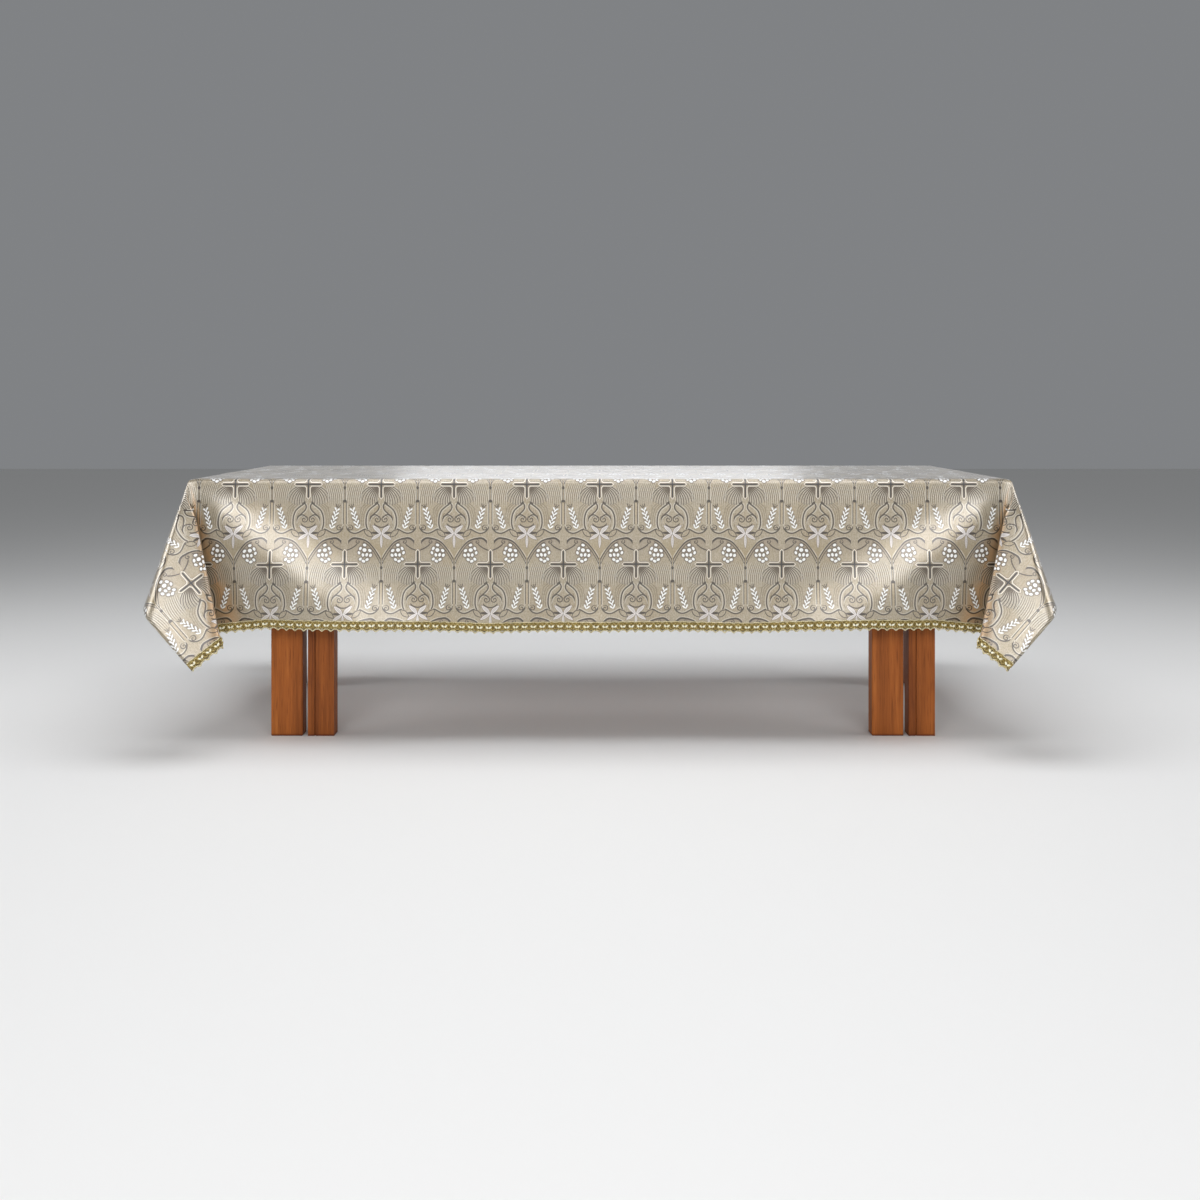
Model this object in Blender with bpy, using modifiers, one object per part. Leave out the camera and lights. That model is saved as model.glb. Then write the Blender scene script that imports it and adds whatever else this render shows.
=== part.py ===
"""Altar frontal: a brocade cloth with a gold braid on its front hem, laid over a plain wooden table.

Metres, +Z up. The front faces -Y, and the origin is on the floor under the middle of the table top.
"""
import bmesh
import bpy
import numpy as np

# Table
TOP_LENGTH = 2.40
TOP_DEPTH = 0.75
TOP_HEIGHT = 0.766
TOP_THICKNESS = 0.035
TOP_CORNER = 0.022
TOP_EDGE = 0.006
JOINT_GAP = 0.0003

# Legs: each is a wide and a narrow post with a slit between them
WIDE_POST = 0.094
SLIT = 0.016
NARROW_POST = 0.078
POST_DEPTH = 0.045
POST_EDGE = 0.002
POST_INSET = 0.060
STRIP = 0.020
GROOVE_WIDTH = 0.003
GROOVE_DEPTH = 0.005
FRONT_LEG_CENTRES = {"left": -0.888, "right": 0.906}
BACK_LEG_SPREAD = 1.175
RAIL_HEIGHT = 0.090
RAIL_THICKNESS = 0.020
RAIL_END = 0.030

# Cloth
CLEARANCE = 0.004
CLOTH_THICKNESS = 0.0014
FRONT_DROP = 0.445
END_DROP = 0.330
BEND = 0.006
BELL_STEP = 0.75
EDGE_ROW = 0.016
FLUTE_GROWTH = 1.5
SPLINE_STEPS = 40
TURN_WEIGHT = 0.16
FRONT_BAYS = 40
END_BAYS = 8
CORNER_BAYS = 27
ROWS = (0.0, 0.03, 0.065, 0.11, 0.18, 0.30, 0.45, 0.62, 0.79)
PLAIN_REACH = 0.012
FOLD_REACH = 0.120
PLAIN_BULGE = 0.30
PLAIN_SPREAD = np.radians(30)
PLAIN_PEAK = np.radians(25)

# Braid
BRAID_WIDTH = 0.023
BRAID_THICKNESS = 0.0022
BRAID_GAP = 0.0007
LOOP_PITCH = 0.026
LOOP_DEPTH = 0.007
LOOP_STEPS = 3

HALF_LENGTH = TOP_LENGTH / 2 + CLEARANCE
HALF_DEPTH = TOP_DEPTH / 2 + CLEARANCE
CLOTH_HEIGHT = TOP_HEIGHT + CLEARANCE
TIP_ANGLE = np.arctan2(END_DROP, FRONT_DROP)
FAN_ANGLE = np.pi / 2 + np.arctan(0.9)

# How the cloth turns a corner of the table, on a level plane one metre below the corner. A row for
# each turn, from the front panel to the end panel: metres in along the front, metres out from the
# front, and the row's share of the slack that the last fold takes up.
CORNER_FOLD = np.array([
    # in     out    slack
    (2.60, 0.000, 0.0),
    (2.05, 0.010, 0.0),
    (1.60, 0.040, 0.0),
    (1.20, 0.015, 0.0),
    (0.80, 0.000, 0.0),
    (0.42, 0.000, 0.0),
    (0.20, 0.000, 0.0),
    (0.04, 0.000, 0.0),
    (-0.05, 0.060, 0.0),
    (0.09, 0.150, 0.0),
    (0.285, 0.235, 0.0),
    (0.27, 0.290, 0.0),
    (0.15, 0.345, 0.0),
    (-0.02, 0.390, 0.0),
    (-0.15, 0.410, 0.0),
    (-0.24, 0.310, 0.0),
    (-0.27, 0.150, 0.0),
    (-0.24, 0.000, 0.0),
    (-0.14, -0.130, 0.0),
    (0.00, -0.260, 0.3),
    (0.00, -0.400, 0.9),
    (0.00, -0.530, 1.0),
    (0.00, -0.700, 0.3),
    (0.00, -0.900, 0.0),
    (0.00, -1.200, 0.0),
])

# The front hem's line, as it hangs in the photo: place along the front and change of the drop.
HEM_LINE = np.array([
    # x      longer
    (-1.204, 0.000),
    (-1.120, 0.003),
    (-0.970, -0.013),
    (-0.780, -0.010),
    (-0.500, -0.004),
    (-0.330, 0.000),
    (-0.080, -0.004),
    (0.230, -0.004),
    (0.430, -0.001),
    (0.630, -0.007),
    (0.790, -0.013),
    (0.970, -0.012),
    (1.110, 0.003),
    (1.204, 0.000),
])

# Soft flutes that swell towards the hem of a long panel: place, half width and how far they stand out.
FLUTES = np.array([
    # x      half    out
    (-0.86, 0.070, 0.006),
    (-0.52, 0.090, -0.005),
    (-0.33, 0.060, 0.007),
    (-0.02, 0.050, 0.007),
    (0.09, 0.040, -0.006),
    (0.40, 0.080, 0.006),
    (0.66, 0.070, -0.005),
    (0.88, 0.060, 0.006),
])


def smooth_line(points, steps):
    """Catmull-Rom curve through the points: cubics whose tangents join each point's neighbours."""
    ends = 2 * points[[0, -1]] - points[[1, -2]]
    p = np.vstack([ends[:1], points, ends[1:]])
    t = np.linspace(0, 1, steps, endpoint=False)[:, None, None]
    a, b, c, d = p[:-3], p[1:-2], p[2:-1], p[3:]
    curve = 0.5 * (2 * b + (c - a) * t + (2 * a - 5 * b + 4 * c - d) * t**2 + (3 * b - a - 3 * c + d) * t**3)
    return np.vstack([curve.transpose(1, 0, 2).reshape(-1, points.shape[1]), points[-1:]])


def fan_of_rays(slack):
    """Unit rays from the corner (past the end, past the front, up) and the flat cloth's angle at each."""
    line = smooth_line(CORNER_FOLD, SPLINE_STEPS)
    rays = np.column_stack([line[:, 2] * slack - line[:, 0], line[:, 1], -np.ones(len(line))])
    rays /= np.linalg.norm(rays, axis=1)[:, None]
    turn = np.arccos(np.clip((rays[1:] * rays[:-1]).sum(1), -1, 1))
    first = -np.arctan(CORNER_FOLD[0, 0])
    return rays, first + np.concatenate([[0], np.cumsum(turn)])


def close_corner():
    """Finds by halving the slack with which the corner uses up all of the flat cloth's angle."""
    whole = np.pi / 2 + np.arctan(-CORNER_FOLD[-1, 1])
    low, high = 0.0, 1.0
    for _ in range(40):
        middle = (low + high) / 2
        if fan_of_rays(middle)[1][-1] < whole:
            low = middle
        else:
            high = middle
    return fan_of_rays(high)


RAYS, ANGLES = close_corner()


def plain_rays(angle):
    """Rays of a corner that is only rounded: each panel swells a little past the edge that it meets."""
    from_end = np.pi / 2 - angle
    past_end = PLAIN_BULGE * np.exp(-(((from_end - PLAIN_PEAK) / PLAIN_SPREAD) ** 2))
    past_front = PLAIN_BULGE * np.exp(-(((angle - PLAIN_PEAK) / PLAIN_SPREAD) ** 2))
    past_end += np.tan(np.minimum(angle, 0))
    past_front += np.tan(np.minimum(from_end, 0))
    rays = np.column_stack([past_end, past_front, -np.ones_like(angle)])
    return rays / np.linalg.norm(rays, axis=1)[:, None]


def corner_cone(angle, reach):
    """Place of the cloth round a corner: rounded close to the corner, and further down in its folds."""
    folded = np.column_stack([np.interp(angle, ANGLES, RAYS[:, i]) for i in range(3)])
    plain = plain_rays(np.clip(angle, ANGLES[0], ANGLES[-1]))
    share = np.clip((reach - PLAIN_REACH) / (FOLD_REACH - PLAIN_REACH), 0, 1)[:, None]
    share = share * share * (3 - 2 * share)
    ray = plain + (folded - plain) * share
    return ray / np.linalg.norm(ray, axis=1)[:, None] * reach[:, None]


def drape(u, v):
    """Place of each point of the flat cloth: level on the table, plumb on its sides and a cone at its corners."""
    past_end = np.abs(u) - HALF_LENGTH
    past_front = np.abs(v) - HALF_DEPTH
    angle = np.arctan2(past_end, past_front)
    reach = np.hypot(past_end, past_front)
    cone = corner_cone(angle, reach)
    flat = np.zeros_like(past_end)
    front = np.column_stack([past_end, flat, -past_front])
    end = np.column_stack([flat, past_front, -past_end])
    top = np.column_stack([past_end, past_front, flat])
    hangs = np.maximum(past_front / FRONT_DROP, 0) ** FLUTE_GROWTH * (past_end < 0)
    offset = (u[:, None] - FLUTES[:, 0]) / FLUTES[:, 1]
    place = np.where((angle < ANGLES[0])[:, None], front, cone)
    place = np.where((angle > ANGLES[-1])[:, None], end, place)
    place = np.where(((past_end <= 0) & (past_front <= 0))[:, None], top, place)
    place[:, 1] += hangs * (np.exp(-offset**2) * FLUTES[:, 2]).sum(1)
    corner = np.array([HALF_LENGTH, HALF_DEPTH, 0])
    signs = np.column_stack([np.where(u < 0, -1, 1), np.where(v < 0, -1, 1), np.ones_like(u)])
    return (corner + place) * signs + np.array([0, 0, CLOTH_HEIGHT])


def rounded_drape(u, v):
    """The drape with its bends rounded: the mean of the places in a bell of weights round each point."""
    steps = np.arange(-3, 4) * BELL_STEP
    weights = np.exp(-(steps**2) / 2)
    weights /= weights.sum()
    place = 0
    for i, across in zip(steps, weights):
        for j, down in zip(steps, weights):
            place = place + across * down * drape(u + i * BEND, v + j * BEND)
    return place


def corner_angles():
    """Flat angles of the corner's rows of faces, closer where the cloth turns, with one at the cloth's tip."""
    arc = np.diff(ANGLES)
    heading = np.diff(RAYS, axis=0) / arc[:, None]
    turn = np.arccos(np.clip((heading[1:] * heading[:-1]).sum(1), -1, 1))
    spacing = np.concatenate([[0], np.cumsum(arc + TURN_WEIGHT * np.append(turn, 0))])
    ends = np.interp([0, FAN_ANGLE], ANGLES, spacing)
    angles = np.interp(np.linspace(*ends, CORNER_BAYS + 1), spacing, ANGLES)
    angles[np.argmin(np.abs(angles - TIP_ANGLE))] = TIP_ANGLE
    return angles[1:]


def edge_places(half, bays):
    """Places along one edge of the table top, with a first and last row close to the corners."""
    return np.concatenate([[-half], np.linspace(-half + EDGE_ROW, half - EDGE_ROW, bays - 1), [half]])


def hem_reach(angle):
    """Length of the flat cloth from the table's corner to the hem at an angle from straight down the front."""
    to_front = FRONT_DROP / np.maximum(np.cos(angle), 0.1)
    to_end = END_DROP / np.maximum(np.sin(angle), 0.1)
    return np.where(angle <= TIP_ANGLE + 1e-6, to_front, to_end)


def stations():
    """Start and end, on the flat cloth, of each line that runs from the table's edge to the hem."""
    along = edge_places(HALF_LENGTH, FRONT_BAYS)
    across = edge_places(HALF_DEPTH, END_BAYS)
    longer = np.interp(along, HEM_LINE[:, 0], HEM_LINE[:, 1])
    fan = corner_angles()
    reach = hem_reach(fan)
    beside = HALF_DEPTH + END_DROP / np.tan(FAN_ANGLE)
    spread = np.linspace(-beside, beside, END_BAYS + 1)[1:-1]
    level = across[1:-1]
    starts, ends = [], []

    def add(start_u, start_v, end_u, end_v):
        starts.append(np.column_stack(np.broadcast_arrays(start_u, start_v)))
        ends.append(np.column_stack(np.broadcast_arrays(end_u, end_v)))

    def add_corner(x_side, y_side, order):
        u = x_side * (HALF_LENGTH + reach * np.sin(fan))[::order]
        v = y_side * (HALF_DEPTH + reach * np.cos(fan))[::order]
        corner = np.array([x_side * HALF_LENGTH, y_side * HALF_DEPTH])
        add(np.full_like(u, corner[0]), corner[1], u, v)

    add(along, -HALF_DEPTH, along, -HALF_DEPTH - FRONT_DROP - longer)
    add_corner(1, -1, 1)
    add(HALF_LENGTH, level, HALF_LENGTH + END_DROP, spread)
    add_corner(1, 1, -1)
    add(along[::-1], HALF_DEPTH, along[::-1], HALF_DEPTH + FRONT_DROP)
    add_corner(-1, 1, 1)
    add(-HALF_LENGTH, level[::-1], -HALF_LENGTH - END_DROP, spread[::-1])
    add_corner(-1, -1, -1)
    return along, across, np.vstack(starts), np.vstack(ends)


def cloth_surface():
    """The cloth's inner face: a grid on the table top, and rows of faces from its edge down to the hem."""
    along, across, start, end = stations()
    grid_u, grid_v = np.meshgrid(along, across, indexing="ij")
    count = len(start)
    run = np.linalg.norm(end - start, axis=1)[:, None]
    down = (end - start) / run
    flat = [start + down * run * row for row in ROWS[1:]]
    flat.append(end - down * BRAID_WIDTH)
    flat.append(end)
    flat = np.vstack([np.column_stack([grid_u.ravel(), grid_v.ravel()])] + flat)
    places = rounded_drape(flat[:, 0], flat[:, 1])

    column = np.arange(grid_u.size).reshape(grid_u.shape)
    faces = np.stack([column[:-1, :-1], column[1:, :-1], column[1:, 1:], column[:-1, 1:]], axis=-1)
    faces = faces.reshape(-1, 4).tolist()
    edge = np.array([np.argmin(np.abs(flat[:grid_u.size] - s).sum(1)) for s in start])
    ring = [edge] + [grid_u.size + i * count + np.arange(count) for i in range(len(ROWS) + 1)]
    for upper, lower in zip(ring, ring[1:]):
        quads = np.column_stack([upper, lower, np.roll(lower, -1), np.roll(upper, -1)])
        faces += [list(dict.fromkeys(quad)) for quad in quads.tolist()]
    return places, faces, ring[-2], ring[-1], end


def material(name, colour, roughness, metallic=0.0):
    made = bpy.data.materials.new(name)
    made.use_nodes = True
    shader = made.node_tree.nodes["Principled BSDF"]
    shader.inputs["Base Color"].default_value = (*colour, 1)
    shader.inputs["Roughness"].default_value = roughness
    shader.inputs["Metallic"].default_value = metallic
    return made


def add_object(name, data, finish):
    thing = bpy.data.objects.new(name, data)
    data.materials.append(finish)
    model.objects.link(thing)
    return thing


def add_surface(name, places, faces, thickness, finish):
    """A sheet: the surface given, with its thickness added outwards."""
    mesh = bpy.data.meshes.new(name)
    mesh.from_pydata(places.tolist(), [], faces)
    mesh.update()
    sheet = add_object(name, mesh, finish)
    wall = sheet.modifiers.new("thickness", "SOLIDIFY")
    wall.thickness = thickness
    wall.offset = 1.0
    return sheet


def add_board(name, low, high, edge, finish):
    """A board from its lowest to its highest corner, with its edges eased."""
    low, high = np.array(low), np.array(high)
    mesh = bpy.data.meshes.new(name)
    form = bmesh.new()
    bmesh.ops.create_cube(form, size=1)
    bmesh.ops.scale(form, vec=high - low, verts=form.verts)
    form.to_mesh(mesh)
    form.free()
    board = add_object(name, mesh, finish)
    board.location = (low + high) / 2
    eased = board.modifiers.new("eased edges", "BEVEL")
    eased.width = edge
    eased.segments = 1
    return board


def add_outline(name, outline, bottom, top, finish):
    """A flat outline in X and Y, drawn up from bottom to top."""
    curve = bpy.data.curves.new(name, "CURVE")
    curve.dimensions = "2D"
    curve.fill_mode = "BOTH"
    curve.extrude = (top - bottom) / 2
    line = curve.splines.new("POLY")
    line.points.add(len(outline) - 1)
    line.points.foreach_set("co", np.array([(x, y, 0, 1) for x, y in outline], dtype=float).ravel())
    line.use_cyclic_u = True
    thing = add_object(name, curve, finish)
    thing.location.z = (top + bottom) / 2
    return thing


def add_table_top(finish):
    """One board with rounded corners and eased edges."""
    turn = np.linspace(0, np.pi / 2, 6)
    outline = []
    for quarter, (x_side, y_side) in enumerate(((1, 1), (-1, 1), (-1, -1), (1, -1))):
        x = x_side * (TOP_LENGTH / 2 - TOP_CORNER) + TOP_CORNER * np.cos(turn + quarter * np.pi / 2)
        y = y_side * (TOP_DEPTH / 2 - TOP_CORNER) + TOP_CORNER * np.sin(turn + quarter * np.pi / 2)
        outline += list(zip(x, y))
    top = add_outline("table_top", outline, TOP_HEIGHT - TOP_THICKNESS, TOP_HEIGHT, finish)
    weld = top.modifiers.new("join caps", "WELD")
    weld.merge_threshold = 0.0001
    eased = top.modifiers.new("eased edges", "BEVEL")
    eased.width = TOP_EDGE
    eased.segments = 2
    eased.angle_limit = np.radians(50)
    return top


def add_leg(name, centre, front, finish):
    """A wide post and, past the slit, a narrow one whose front has a strip marked off by a groove."""
    left = centre - (WIDE_POST + SLIT + NARROW_POST) / 2
    back = front + POST_DEPTH
    height = TOP_HEIGHT - TOP_THICKNESS - JOINT_GAP
    add_board(name + "_wide_post", (left, front, 0), (left + WIDE_POST, back, height), POST_EDGE, finish)
    start = left + WIDE_POST + SLIT
    groove = start + STRIP
    outline = [
        (start, front),
        (groove, front),
        (groove, front + GROOVE_DEPTH),
        (groove + GROOVE_WIDTH, front + GROOVE_DEPTH),
        (groove + GROOVE_WIDTH, front),
        (start + NARROW_POST, front),
        (start + NARROW_POST, back),
        (start, back),
    ]
    add_outline(name + "_narrow_post", outline, 0, height, finish)


def add_table(finish):
    add_table_top(finish)
    leg_width = WIDE_POST + SLIT + NARROW_POST
    front = -TOP_DEPTH / 2 + POST_INSET
    back = -front - POST_DEPTH
    top = TOP_HEIGHT - TOP_THICKNESS - JOINT_GAP
    low = top - RAIL_HEIGHT
    front_rail = front + POST_DEPTH + JOINT_GAP
    back_rail = back - JOINT_GAP
    rail_ends = []
    for side, centre in FRONT_LEG_CENTRES.items():
        outwards = np.sign(centre)
        add_leg("front_" + side + "_leg", centre, front, finish)
        add_leg("back_" + side + "_leg", centre * BACK_LEG_SPREAD, back, finish)
        outer = centre + outwards * leg_width / 2
        inner = centre * BACK_LEG_SPREAD - outwards * leg_width / 2
        rail = (outer + inner) / 2
        add_board(
            side + "_end_rail",
            (rail - RAIL_THICKNESS / 2, front_rail, low),
            (rail + RAIL_THICKNESS / 2, back_rail - RAIL_THICKNESS - JOINT_GAP, top),
            POST_EDGE,
            finish,
        )
        rail_ends.append((rail - outwards * (RAIL_THICKNESS / 2 + JOINT_GAP), centre * BACK_LEG_SPREAD))
    (left_rail, left_leg), (right_rail, right_leg) = rail_ends
    add_board(
        "front_rail",
        (left_rail, front_rail, low),
        (right_rail, front_rail + RAIL_THICKNESS, top),
        POST_EDGE,
        finish,
    )
    add_board(
        "back_rail",
        (left_leg - leg_width / 2 + RAIL_END, back_rail - RAIL_THICKNESS, low),
        (right_leg + leg_width / 2 - RAIL_END, back_rail, top),
        POST_EDGE,
        finish,
    )


def add_cloth_and_braid(brocade, gold):
    """The cloth, and the braid that lies on its front hem from tip to tip, its loops below the hem."""
    places, faces, upper, hem, flat = cloth_surface()
    cloth = add_surface("frontal_cloth", places, faces, CLOTH_THICKNESS, brocade)
    normals = np.array([vertex.normal for vertex in cloth.data.vertices])

    tip_u = HALF_LENGTH + END_DROP
    tips = [np.argmin(np.abs(flat - (side * tip_u, -HALF_DEPTH - FRONT_DROP)).sum(1)) for side in (-1, 1)]
    order = np.arange(tips[0] - len(hem), tips[1] + 1)
    lift = (CLOTH_THICKNESS + BRAID_GAP) * normals
    top_edge = (places + lift)[upper[order]]
    hem_edge = (places + lift)[hem[order]]
    length = np.concatenate([[0], np.cumsum(np.linalg.norm(np.diff(hem_edge, axis=0), axis=1))])
    loops = round(length[-1] / LOOP_PITCH)
    steps = np.linspace(0, length[-1], loops * LOOP_STEPS + 1)
    near = np.abs(steps[:, None] - length).min(axis=1) < LOOP_PITCH / 10
    steps = np.sort(np.concatenate([steps[~near], length]))
    phase = steps / length[-1] * loops
    hangs = LOOP_DEPTH * np.sqrt(np.abs(np.sin(np.pi * phase)))
    top_edge = np.column_stack([np.interp(steps, length, top_edge[:, i]) for i in range(3)])
    hem_edge = np.column_stack([np.interp(steps, length, hem_edge[:, i]) for i in range(3)])
    low_edge = hem_edge + (hem_edge - top_edge) * (hangs / BRAID_WIDTH)[:, None]
    count = len(steps)
    first = np.arange(count - 1)
    faces = np.column_stack([first, first + count, first + count + 1, first + 1]).tolist()
    add_surface("hem_braid", np.vstack([top_edge, low_edge]), faces, BRAID_THICKNESS, gold)


for old in list(bpy.data.objects):
    bpy.data.objects.remove(old, do_unlink=True)
model = bpy.data.collections.new("altar_frontal")
bpy.context.scene.collection.children.link(model)

add_table(material("oiled wood", (0.27, 0.085, 0.022), 0.45))
add_cloth_and_braid(
    material("silver brocade", (0.47, 0.42, 0.34), 0.45),
    material("gold braid", (0.55, 0.36, 0.09), 0.35, 0.6),
)
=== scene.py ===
"""The altar frontal's finish: oiled wood, silver brocade and gold gimp braid.

Metres, +Z up. The front faces -Y, and the origin is on the floor under the middle of the table top.
"""
from functools import partial, reduce
import bpy
import numpy as np
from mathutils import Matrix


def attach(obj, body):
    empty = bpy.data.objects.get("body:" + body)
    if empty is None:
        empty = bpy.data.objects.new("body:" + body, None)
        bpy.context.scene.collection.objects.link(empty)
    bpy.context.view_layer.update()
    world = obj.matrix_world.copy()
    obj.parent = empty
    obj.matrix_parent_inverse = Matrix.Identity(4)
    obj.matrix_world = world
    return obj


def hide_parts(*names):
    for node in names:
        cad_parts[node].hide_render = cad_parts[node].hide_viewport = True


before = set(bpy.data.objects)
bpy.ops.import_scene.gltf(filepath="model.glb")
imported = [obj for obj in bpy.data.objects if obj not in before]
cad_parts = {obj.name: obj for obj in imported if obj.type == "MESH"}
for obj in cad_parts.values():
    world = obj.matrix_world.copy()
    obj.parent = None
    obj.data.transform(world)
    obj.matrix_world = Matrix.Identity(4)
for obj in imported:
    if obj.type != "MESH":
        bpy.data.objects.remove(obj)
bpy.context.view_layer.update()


# The table. Planed boards of reddish hardwood, stained and oiled: a top, four rails, and legs that are each
# a wide and a narrow post. Its solids are the frame's own, and they get only their finish here.

FIGURES_ALONG = 4.0
FIGURES_ACROSS = 120.0
GRAIN_RELIEF = 0.0004
FOOT_DARKENING = (0.004, 0.008)


def linear(code):
    """sRGB hex to linear: c / 12.92 up to 0.04045, and ((c + 0.055) / 1.055) to the power of 2.4 above it."""
    channels = np.array([int(code[i:i + 2], 16) for i in (1, 3, 5)]) / 255
    lit = np.where(channels <= 0.04045, channels / 12.92, ((channels + 0.055) / 1.055) ** 2.4)
    return (*lit.tolist(), 1.0)


def add_node(tree, kind, *inputs, **settings):
    """Adds a node by its kind and operation. The inputs, numbers or other nodes' outputs, go to its sockets
    in order. The node's first output in use comes back."""
    kind, _, operation = kind.partition(" ")
    node = tree.nodes.new("ShaderNode" + kind)
    if operation:
        node.operation = operation
    for name, value in settings.items():
        setattr(node, name, value)
    for socket, value in zip([s for s in node.inputs if s.enabled], inputs):
        if isinstance(value, bpy.types.NodeSocket):
            tree.links.new(value, socket)
        else:
            socket.default_value = value
    return next(s for s in node.outputs if s.enabled)


def new_finish(name, **values):
    """An empty finish: a material whose shader has these values, with the function that adds its nodes."""
    made = bpy.data.materials.new(name)
    made.use_nodes = True
    shader = made.node_tree.nodes["Principled BSDF"]
    for socket, value in values.items():
        shader.inputs[socket.replace("_", " ")].default_value = value
    return made, partial(add_node, made.node_tree), shader


def dress(material, shader, colour, roughness, height, depth):
    """Gives the shader its colour, its roughness and a relief of this depth in metres."""
    tree = material.node_tree
    tree.links.new(colour, shader.inputs["Base Color"])
    tree.links.new(roughness, shader.inputs["Roughness"])
    relief = add_node(tree, "Bump", 1.0, depth)
    tree.links.new(height, relief.node.inputs["Height"])
    tree.links.new(relief, shader.inputs["Normal"])


def oiled_hardwood(name, stretch):
    """Oiled sapele-like hardwood: straight dark pores a few millimetres apart on a reddish ground, with a
    soft shine, and darker within a few millimetres of the foot. stretch is the number of figures to a metre
    along X, Y and Z."""
    wood, grain, shader = new_finish(name, IOR=1.47, Specular_IOR_Level=0.25)
    place = grain("TexCoord").node.outputs["Object"]
    along = grain("Mapping", place, (0.31, 0.17, 0.09), (0, 0, 0), stretch)
    figure = grain("TexNoise", along, 1.0, 4.0, 0.62, 2.1, 0.35)
    pores = grain("TexNoise", along, 3.4, 2.0, 0.55, 2.0, 0.1)
    broad = grain("TexNoise", along, 0.22, 1.0, 0.5, 2.0, 0.2)
    tone = grain("Math MULTIPLY_ADD", broad, 0.9, grain("Math MULTIPLY", figure, 0.55))
    shades = grain("ValToRGB", grain("Math SUBTRACT", tone, 0.22))
    ramp = shades.node.color_ramp
    ramp.elements[0].position, ramp.elements[0].color = 0.22, linear("#6B3410")
    ramp.elements[1].position, ramp.elements[1].color = 0.82, linear("#C27A38")
    ramp.elements.new(0.46).color = linear("#94511F")
    ramp.elements.new(0.62).color = linear("#A85E26")
    pore = grain("MapRange", pores, 0.30, 0.46, 1.0, 0.0)
    height_here = grain("SeparateXYZ", place).node.outputs[2]
    foot = grain("MapRange", height_here, *FOOT_DARKENING, 1.0, 0.0)
    dark = grain("Math MAXIMUM", grain("Math MULTIPLY", pore, 0.55), grain("Math MULTIPLY", foot, 0.7))
    colour = grain("Mix", dark, shades, linear("#55240B"), data_type="RGBA")
    roughness = grain("MapRange", figure, 0.2, 0.8, 0.56, 0.44)
    relief = grain("Math SUBTRACT", figure, grain("Math MULTIPLY", pore, 0.4))
    dress(wood, shader, colour, roughness, relief, GRAIN_RELIEF)
    return wood


upright_grain = oiled_hardwood("oiled_hardwood_upright", (FIGURES_ACROSS, FIGURES_ACROSS, FIGURES_ALONG))
long_grain = oiled_hardwood("oiled_hardwood_lengthways", (FIGURES_ALONG, FIGURES_ACROSS, FIGURES_ACROSS))
cross_grain = oiled_hardwood("oiled_hardwood_crossways", (FIGURES_ACROSS, FIGURES_ALONG, FIGURES_ACROSS))
for name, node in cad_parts.items():
    if name.endswith("_post"):
        node.material_slots[0].material = upright_grain
    elif name in ("table_top", "front_rail", "back_rail"):
        node.material_slots[0].material = long_grain
    elif name.endswith("_end_rail"):
        node.material_slots[0].material = cross_grain


# The cloth. One length of silver and cream lampas brocade, hemmed all round and laid over the table, so
# that it breaks over the top's edges and its corners fall in folded ears. Nothing holds it but its weight.

HALF_LENGTH = 1.204
HALF_DEPTH = 0.379
CLOTH_HEIGHT = 0.770
CLOTH_THICKNESS = 0.0011
FRONT_DROP = 0.445
END_DROP = 0.330
BEND = 0.006
BELL_STEP = 0.75
FLUTE_GROWTH = 1.5
SPLINE_STEPS = 40
TURN_WEIGHT = 0.16
PLAIN_REACH = 0.012
FOLD_REACH = 0.120
PLAIN_BULGE = 0.30
PLAIN_SPREAD = np.radians(30)
PLAIN_PEAK = np.radians(25)
TIP_ANGLE = np.arctan2(END_DROP, FRONT_DROP)
FAN_ANGLE = np.pi / 2 + np.arctan(0.9)
FRONT_BAYS = 160
END_BAYS = 40
CORNER_BAYS = 84
ROW_COUNT = 42
ROW_CROWDING = 1.25
SLOPE_STEP = 0.0015
HALVINGS = 40

# How the cloth turns a corner of the table, on a level plane one metre below the corner, from the front
# panel to the end panel: metres in along the front, metres out from it, and share of the slack.
CORNER_FOLD = np.array([
    # in     out    slack
    (2.60, 0.000, 0.0),
    (2.05, 0.003, 0.0),
    (1.60, 0.020, 0.0),
    (1.20, 0.050, 0.0),
    (0.80, 0.052, 0.0),
    (0.42, 0.022, 0.0),
    (0.20, 0.004, 0.0),
    (0.04, 0.000, 0.0),
    (-0.05, 0.060, 0.0),
    (0.09, 0.150, 0.0),
    (0.285, 0.235, 0.0),
    (0.27, 0.290, 0.0),
    (0.15, 0.345, 0.0),
    (-0.02, 0.390, 0.0),
    (-0.15, 0.410, 0.0),
    (-0.24, 0.310, 0.0),
    (-0.27, 0.150, 0.0),
    (-0.24, 0.000, 0.0),
    (-0.14, -0.130, 0.0),
    (0.00, -0.260, 0.3),
    (0.00, -0.400, 0.9),
    (0.00, -0.530, 1.0),
    (0.00, -0.700, 0.3),
    (0.00, -0.900, 0.0),
    (0.00, -1.200, 0.0),
])

# The front hem's line: place along the front and change of the drop.
HEM_LINE = np.array([
    # x      longer
    (-1.204, 0.000),
    (-1.120, 0.003),
    (-0.970, -0.013),
    (-0.780, -0.010),
    (-0.500, -0.004),
    (-0.330, 0.000),
    (-0.080, -0.004),
    (0.230, -0.004),
    (0.430, -0.001),
    (0.630, -0.007),
    (0.790, -0.013),
    (0.970, -0.012),
    (1.110, 0.003),
    (1.204, 0.000),
])

# Soft flutes that swell towards the hem of a long panel: place, half width and how far they stand out.
FLUTES = np.array([
    # x      half    out
    (-0.86, 0.070, 0.006),
    (-0.52, 0.090, -0.005),
    (-0.33, 0.060, 0.007),
    (-0.02, 0.050, 0.007),
    (0.09, 0.040, -0.006),
    (0.40, 0.080, 0.006),
    (0.66, 0.070, -0.005),
    (0.88, 0.060, 0.006),
])

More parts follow.
